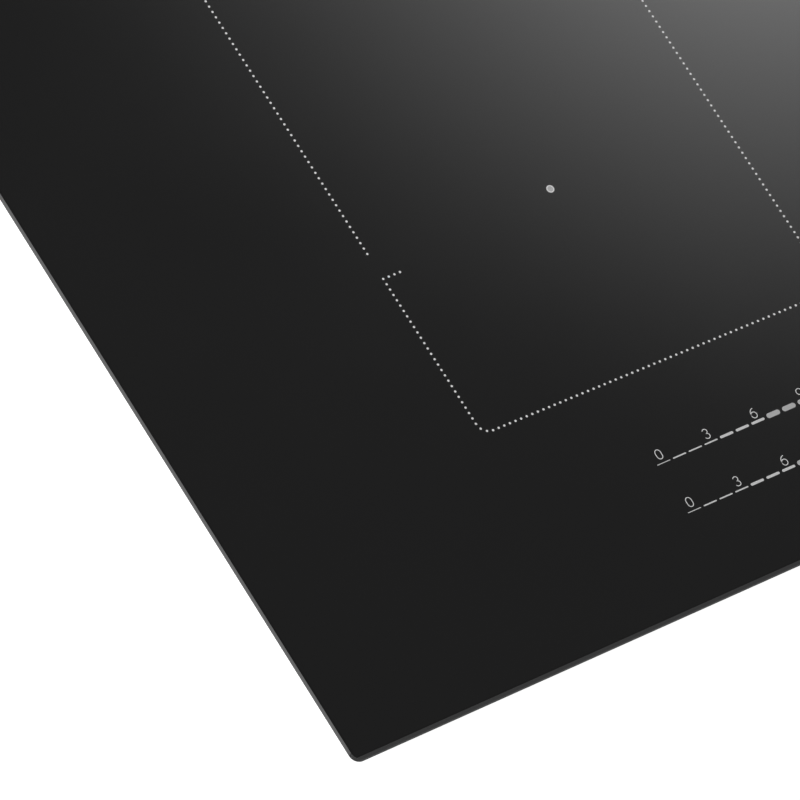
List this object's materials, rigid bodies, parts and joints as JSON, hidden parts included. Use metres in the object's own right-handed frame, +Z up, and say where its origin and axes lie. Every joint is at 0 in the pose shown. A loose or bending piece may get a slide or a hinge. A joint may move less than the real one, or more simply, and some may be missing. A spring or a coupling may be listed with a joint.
{
  "type": "built-in induction cooktop",
  "caption": "Black glass built-in induction cooktop with dotted flexible cooking zones, touch slider controls, a steel base pan, cooling fans and swivel worktop clamps.",
  "frame": {"origin": "centre of the footprint, on the plane that the base pan's pads stand on", "axes": "+Z up through the glass, +X to the right as seen by the cook, +Y to the rear of the worktop"},
  "size_m": [0.78, 0.52, 0.054],
  "materials": {
    "black_glass": "polished black glass-ceramic, opaque",
    "seal_foam": "closed-cell foam tape",
    "silicone": "cured silicone bead",
    "galvanised_steel": "galvanised sheet with fine spangle",
    "zinc_screw": "zinc plated",
    "coil_former_plastic": "glass-filled nylon",
    "copper_litz": "varnished stranded copper",
    "insulation_felt": "ceramic fibre felt",
    "sensor_ceramic": "unglazed",
    "ferrite": "pressed ferrite",
    "spring_steel": "spring wire",
    "lead_insulation": "silicone sleeve",
    "aluminium_sheet": "mill finish",
    "aluminium_fins": "extruded",
    "circuit_board": "solder mask green",
    "fan_plastic": "moulded, fine grain",
    "component_black": "epoxy moulding",
    "component_grey": "moulded case",
    "spacer_plastic": "natural nylon",
    "carrier_plastic": "moulded",
    "terminal_plastic": "moulded, fine grain",
    "terminal_block_plastic": "polyamide",
    "terminal_brass": "machined",
    "hinge_steel": "drawn wire",
    "gland_plastic": "nylon",
    "clamp_steel": "zinc plated sheet"
  },
  "bodies": {
    "hob": {"glass_plate": "black_glass", "worktop_seal": "seal_foam", "glass_bond": "silicone", "glass_rails": "galvanised_steel", "base_pan": "galvanised_steel", "pan_screws": "zinc_screw", "board_screws": "zinc_screw", "former_screws": "zinc_screw", "clamp_screws": "zinc_screw", "coil_former_front_left": "coil_former_plastic", "coil_winding_front_left": "copper_litz", "insulation_disc_front_left": "insulation_felt", "temperature_sensor_front_left": "sensor_ceramic", "coil_former_rear_left": "coil_former_plastic", "coil_winding_rear_left": "copper_litz", "insulation_disc_rear_left": "insulation_felt", "temperature_sensor_rear_left": "sensor_ceramic", "coil_former_front_right": "coil_former_plastic", "coil_winding_front_right": "copper_litz", "insulation_disc_front_right": "insulation_felt", "temperature_sensor_front_right": "sensor_ceramic", "coil_former_rear_right": "coil_former_plastic", "coil_winding_rear_right": "copper_litz", "insulation_disc_rear_right": "insulation_felt", "temperature_sensor_rear_right": "sensor_ceramic", "ferrite_bars": "ferrite", "sensor_springs": "spring_steel", "touch_springs": "spring_steel", "coil_leads": "lead_insulation", "coil_tray_left": "aluminium_sheet", "heat_sink_left": "aluminium_fins", "power_board_left": "circuit_board", "fan_housing_left": "fan_plastic", "coil_tray_right": "aluminium_sheet", "heat_sink_right": "aluminium_fins", "power_board_right": "circuit_board", "fan_housing_right": "fan_plastic", "power_transistors": "component_black", "capacitors": "component_grey", "filter_parts": "component_grey", "filter_board": "circuit_board", "control_board": "circuit_board", "board_standoffs": "spacer_plastic", "control_carrier": "carrier_plastic", "light_guides": "carrier_plastic", "terminal_box": "terminal_plastic", "terminal_block": "terminal_block_plastic", "terminal_screws": "terminal_brass", "hinge_pin": "hinge_steel", "cable_gland": "gland_plastic", "clamp_brackets": "clamp_steel"},
    "fan_rotor_body_left": {"fan_rotor_left": "fan_plastic"},
    "fan_rotor_body_right": {"fan_rotor_right": "fan_plastic"},
    "terminal_cover_body": {"terminal_cover": "terminal_plastic"},
    "clamp_body_front_left": {"clamp_arm_front_left": "clamp_steel"},
    "clamp_body_rear_left": {"clamp_arm_rear_left": "clamp_steel"},
    "clamp_body_front_right": {"clamp_arm_front_right": "clamp_steel"},
    "clamp_body_rear_right": {"clamp_arm_rear_right": "clamp_steel"}
  },
  "joints": [
    {"name": "fan_spin_left", "type": "hinge", "parent": "hob", "child": "fan_rotor_body_left", "pos_m": [-0.158, 0.15, 0.015], "axis": [0, 0, 1], "continuous": true},
    {"name": "fan_spin_right", "type": "hinge", "parent": "hob", "child": "fan_rotor_body_right", "pos_m": [0.158, 0.15, 0.015], "axis": [0, 0, 1], "continuous": true},
    {"name": "clamp_swing_front_left", "type": "hinge", "parent": "hob", "child": "clamp_body_front_left", "pos_m": [-0.271, -0.15, 0.029], "axis": [0, 0, 1], "range_deg": [0, 90]},
    {"name": "clamp_swing_rear_left", "type": "hinge", "parent": "hob", "child": "clamp_body_rear_left", "pos_m": [-0.271, 0.15, 0.029], "axis": [0, 0, 1], "range_deg": [0, 90]},
    {"name": "clamp_swing_front_right", "type": "hinge", "parent": "hob", "child": "clamp_body_front_right", "pos_m": [0.271, -0.15, 0.029], "axis": [0, 0, -1], "range_deg": [0, 90]},
    {"name": "clamp_swing_rear_right", "type": "hinge", "parent": "hob", "child": "clamp_body_rear_right", "pos_m": [0.271, 0.15, 0.029], "axis": [0, 0, -1], "range_deg": [0, 90]},
    {"name": "terminal_cover_hinge", "type": "hinge", "parent": "hob", "child": "terminal_cover_body", "pos_m": [0.186, 0.2392, 0.0365], "axis": [1, 0, 0], "range_deg": [0, 90]}
  ]
}
